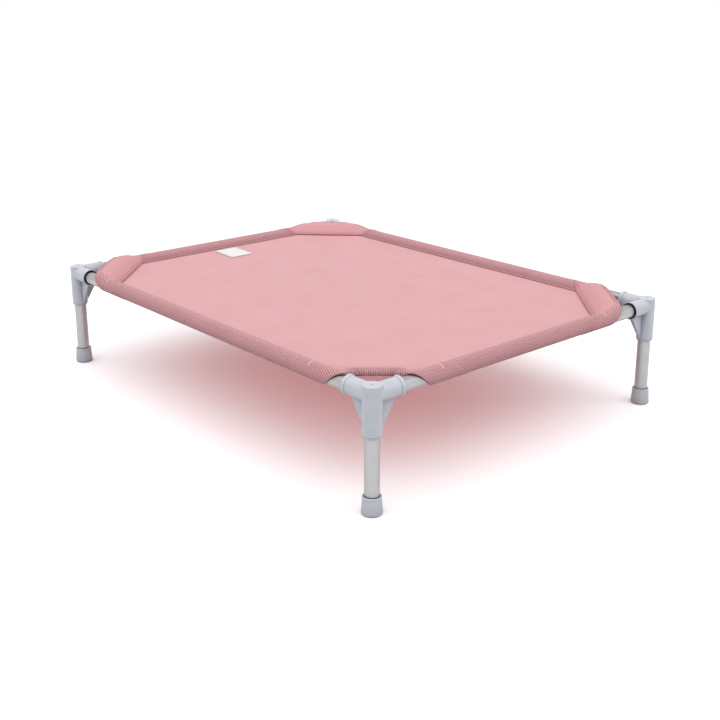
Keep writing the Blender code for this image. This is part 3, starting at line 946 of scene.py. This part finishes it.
def grain_and_crease_shade_material(name, roughness, metallic, low, high, scale, crease_shade, reach, marked_and_shaded=False):
    """A material with a faint grain and painted shade in creases, which reach so far. If asked, it also gets
    the dark marks and the painted collar shade.
    """
    material, tree, shader = new_material(name, roughness, metallic)
    place = add_node(tree, "ShaderNodeTexCoord").outputs["Object"]
    grain = noise_at(tree, place, Scale=scale, Detail=4.0)
    colour = colour_ramp(tree, grain, [(0.3, low), (0.7, high)])
    # Shade in creases is painted into the colour from ambient occlusion.
    nook = add_node(tree, "ShaderNodeAmbientOcclusion", samples=12, Distance=reach)
    dark = tuple(1 - crease_shade * share for share in (1.0, 0.96, 0.9))
    colour = tinted(tree, colour, colour_ramp(tree, nook.outputs["AO"], [(0.35, dark), (0.95, WHITE)]))
    if marked_and_shaded:
        # The dark marks and the painted collar shade go into the colour.
        lines = calculated(tree, "MULTIPLY", collar_shade_and_dark_marks(tree, place), MARK_AND_SHADE_STRENGTH)
        colour = blended(tree, lines, colour, MARK_AND_SHADE_COLOUR)
        shader.inputs["Coat Weight"].default_value = 0.3
        shader.inputs["Coat Roughness"].default_value = 0.15
    tree.links.new(colour, shader.inputs["Base Color"])
    fine = noise_at(tree, place, Scale=1400.0, Detail=2.0)
    raise_surface(tree, shader, fine, Strength=0.12, Distance=0.1 * MM)
    return material


PLASTIC_GREYS = (0.545, 0.57, 0.635), (0.59, 0.615, 0.68)
RAIL_GREYS = (0.375, 0.375, 0.38), (0.415, 0.415, 0.415)
# Legs and rails are the same aluminium; the legs' greys are a little lighter, as painted light for how the
# light falls on them.
LEG_GREYS_PAINTED_LIGHTER = (0.385, 0.385, 0.39), (0.425, 0.425, 0.425)
RUBBER_GREYS = (0.575, 0.595, 0.65), (0.62, 0.64, 0.695)
plastic = grain_and_crease_shade_material("moulded_plastic", 0.36, 0.0, *PLASTIC_GREYS, 60.0, 0.6, BROAD, marked_and_shaded=True)
rail_metal = grain_and_crease_shade_material("satin_rail_tube", 0.42, 1.0, *RAIL_GREYS, 40.0, 0.85, NARROW)
leg_metal = grain_and_crease_shade_material("satin_leg_tube", 0.42, 1.0, *LEG_GREYS_PAINTED_LIGHTER, 40.0, 0.85, NARROW)
rubber = grain_and_crease_shade_material("cap_rubber", 0.6, 0.0, *RUBBER_GREYS, 60.0, 0.3, BROAD)
print("frame materials:", plastic.name, rail_metal.name, leg_metal.name, rubber.name)

# %% Finished copies of the rigid pieces
WELD = 0.005 * MM
FLAT_ANGLE = math.radians(0.5)
SHARP_ANGLE = math.radians(32)
FINISHES = {
    # kind of node: (material, slot, bevel width)
    "corner_connector": (plastic, "pale_grey_plastic", 0.45 * MM),
    "rail": (rail_metal, "satin_aluminium", 0.2 * MM),
    "leg": (leg_metal, "satin_aluminium", 0.2 * MM),
    "foot_cap": (rubber, "grey_rubber", 0.4 * MM),
}


def finished_copy(name, material, slot, width):
    piece = bpy.data.objects.new(f"{name}_finished", nodes[name].data.copy())
    piece.data.name = piece.name
    bpy.context.scene.collection.objects.link(piece)
    make_active(piece)
    bpy.ops.object.mode_set(mode="EDIT")
    bpy.ops.mesh.select_all(action="SELECT")
    bpy.ops.mesh.remove_doubles(threshold=WELD)
    bpy.ops.mesh.dissolve_limited(angle_limit=FLAT_ANGLE)
    bpy.ops.object.mode_set(mode="OBJECT")
    edges = piece.modifiers.new("Soft edges", "BEVEL")
    edges.width = width
    edges.segments = 2
    edges.limit_method = "ANGLE"
    edges.angle_limit = SHARP_ANGLE
    apply_modifier(piece, edges)
    bpy.ops.object.shade_smooth_by_angle(angle=SHARP_ANGLE)
    level = piece.modifiers.new("Even shading", "WEIGHTED_NORMAL")
    level.keep_sharp = True
    apply_modifier(piece, level)
    piece.data.materials.clear()
    piece.data.materials.append(material)
    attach(piece, "root")
    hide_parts(name)
    return piece


for kind, finish in FINISHES.items():
    made = [finished_copy(name, *finish) for name in nodes if name.startswith(kind)]
    print(kind, "copies:", len(made), "faces each:", len(made[0].data.polygons))
